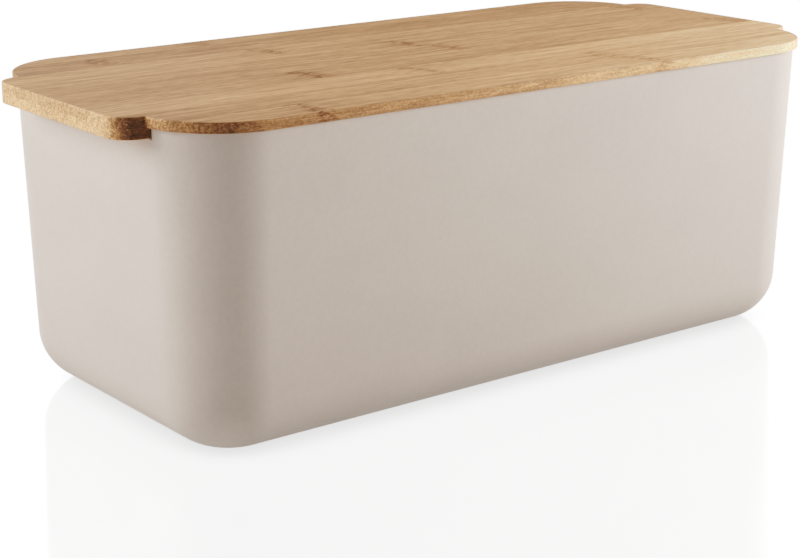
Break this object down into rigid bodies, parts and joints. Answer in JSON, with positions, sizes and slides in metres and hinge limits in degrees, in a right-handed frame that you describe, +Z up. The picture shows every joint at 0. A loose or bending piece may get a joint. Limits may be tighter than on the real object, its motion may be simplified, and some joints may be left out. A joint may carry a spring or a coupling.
{
  "type": "bread bin",
  "caption": "Long, tapered, round-cornered bread bin with a glued-up bamboo board as its lift-off lid, which also serves as a cutting board.",
  "frame": {"origin": "middle of the footprint, on the surface the bin stands on", "axes": "+Z up, +X along the length; the two long sides face -Y and +Y"},
  "size_m": [0.375, 0.172, 0.139],
  "materials": {
    "bin_plastic": "matt moulded, warm greige",
    "bamboo_face": "sanded and oiled carbonised bamboo",
    "bamboo_back": "sanded and oiled bamboo"
  },
  "bodies": {
    "bin": {"bin_body": "bin_plastic"},
    "lid": {"lid_face_strip_1": "bamboo_face", "lid_face_strip_2": "bamboo_face", "lid_face_strip_3": "bamboo_face", "lid_face_strip_4": "bamboo_face", "lid_face_strip_5": "bamboo_face", "lid_face_strip_6": "bamboo_face", "lid_face_strip_7": "bamboo_face", "lid_face_strip_8": "bamboo_face", "lid_face_strip_9": "bamboo_face", "lid_back_strip_1": "bamboo_back", "lid_back_strip_2": "bamboo_back", "lid_back_strip_3": "bamboo_back", "lid_back_strip_4": "bamboo_back", "lid_back_strip_5": "bamboo_back", "lid_back_strip_6": "bamboo_back", "lid_back_strip_7": "bamboo_back", "lid_back_strip_8": "bamboo_back"}
  },
  "joints": [
    {"name": "lid_lift", "type": "slide", "parent": "bin", "child": "lid", "axis": [0, 0, 1], "range_m": [0, 0.16]}
  ]
}
